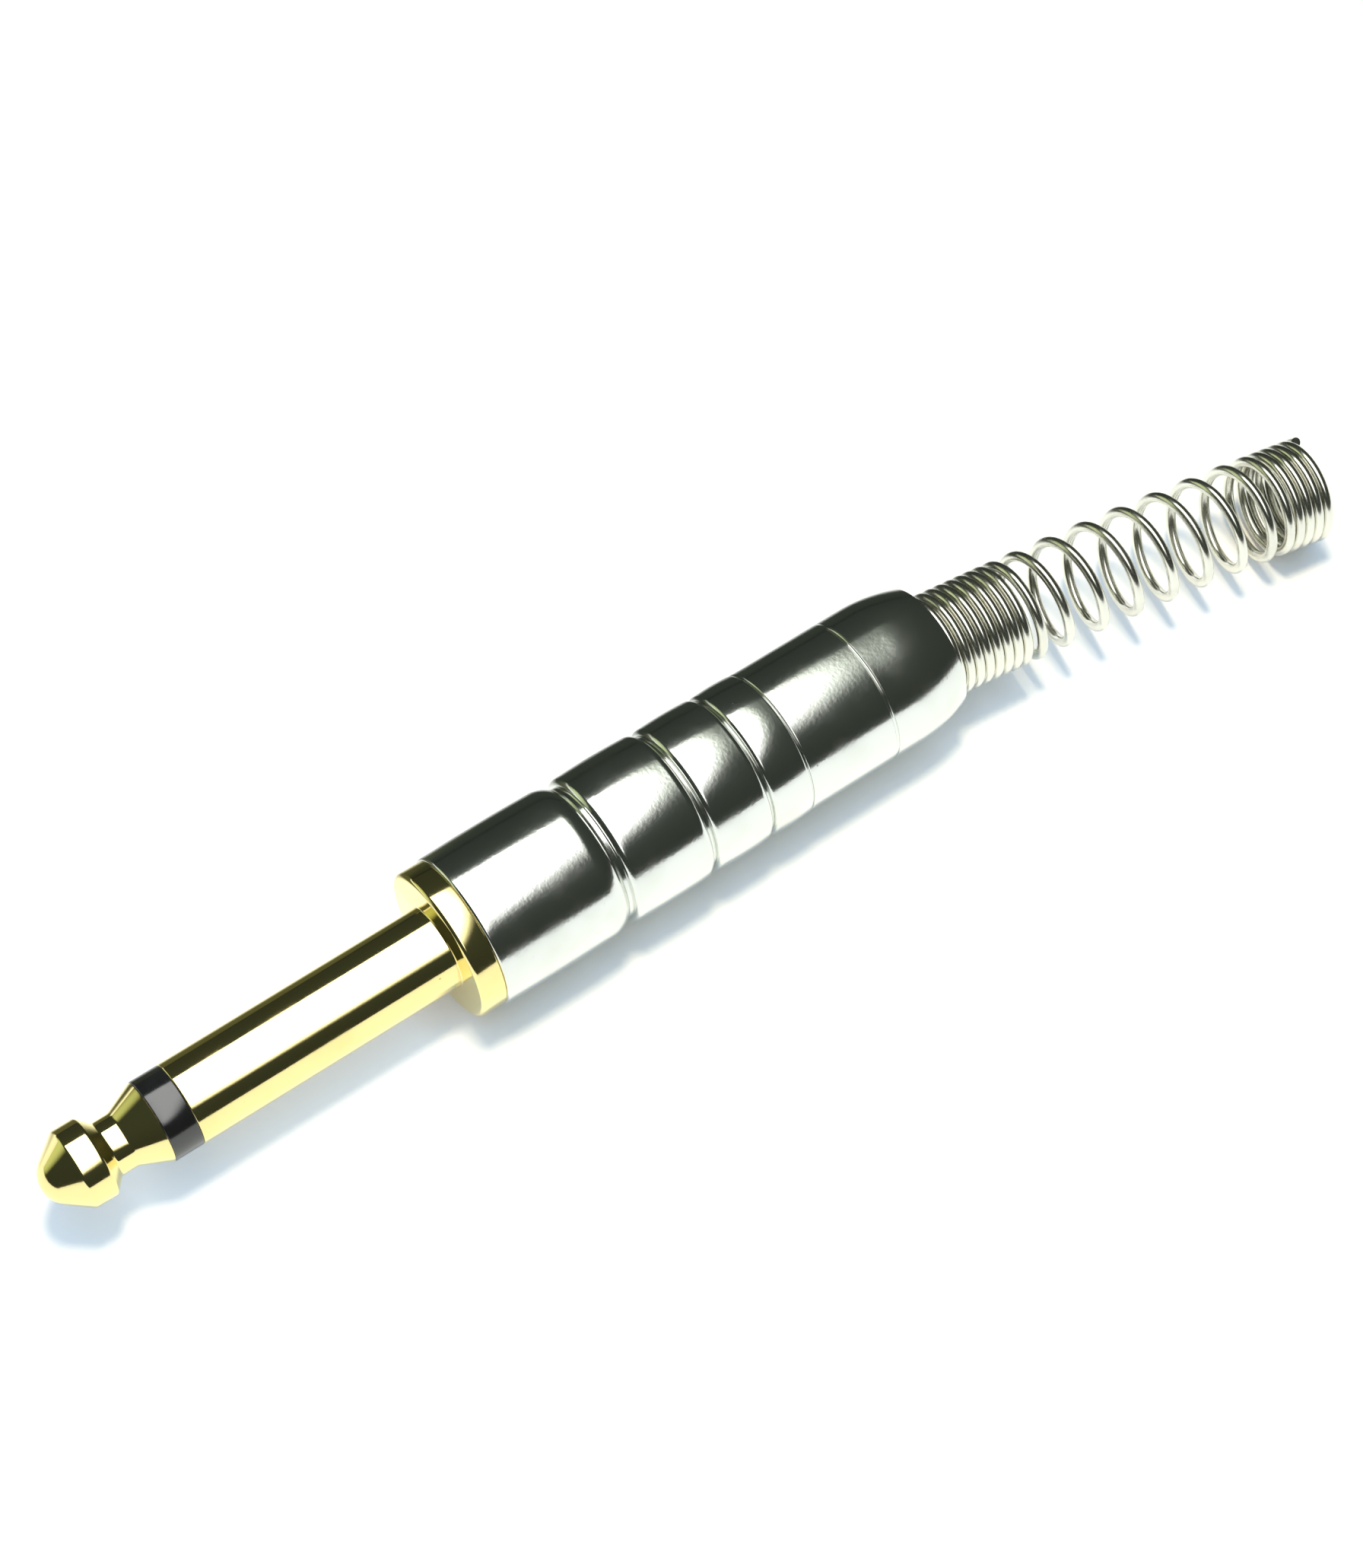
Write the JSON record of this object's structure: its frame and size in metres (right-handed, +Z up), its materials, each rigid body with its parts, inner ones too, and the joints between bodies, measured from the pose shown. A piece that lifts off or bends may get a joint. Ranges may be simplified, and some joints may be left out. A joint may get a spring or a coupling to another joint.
{
  "type": "mono jack plug",
  "caption": "Mono audio jack plug with an insulated bullet-shaped tip, a plated shaft, a turned screw-on barrel with grooves and a spring that relieves strain on the cable.",
  "frame": {"origin": "on the plug's axis, at the front face of the flange", "axes": "+X along the axis from the tip to the cable, +Z up as the plug lies on its side"},
  "size_m": [0.1094, 0.0144, 0.012],
  "materials": {
    "gold_plating": "polished gold plating on brass",
    "ring_plastic": "moulded, semi-gloss",
    "tube_plastic": "extruded",
    "tinned_sheet": "bright tin plating",
    "washer_board": "laminated board",
    "nickel_plating": "polished nickel plating",
    "liner_plastic": "extruded",
    "spring_wire": "bright nickel-plated wire"
  },
  "bodies": {
    "plug": {"tip_pin": "gold_plating", "tip_insulator": "ring_plastic", "rod_tube": "tube_plastic", "sleeve": "gold_plating", "ground_terminal": "tinned_sheet", "rear_insulator": "washer_board", "tip_terminal": "tinned_sheet"},
    "liner": {"barrel_liner": "liner_plastic"},
    "barrel": {"barrel": "nickel_plating", "spring": "spring_wire"}
  },
  "joints": [
    {"name": "barrel_travel", "type": "slide", "parent": "plug", "child": "liner", "axis": [1, 0, 0], "range_m": [0, 0.00526]},
    {"name": "barrel_turn", "type": "hinge", "parent": "liner", "child": "barrel", "pos_m": [0, 0, 0], "axis": [1, 0, 0], "range_deg": [0, 2520]}
  ],
  "couplings": [
    {"joint": "barrel_travel", "follows": "barrel_turn", "m_per_rad": 0.00011937}
  ]
}
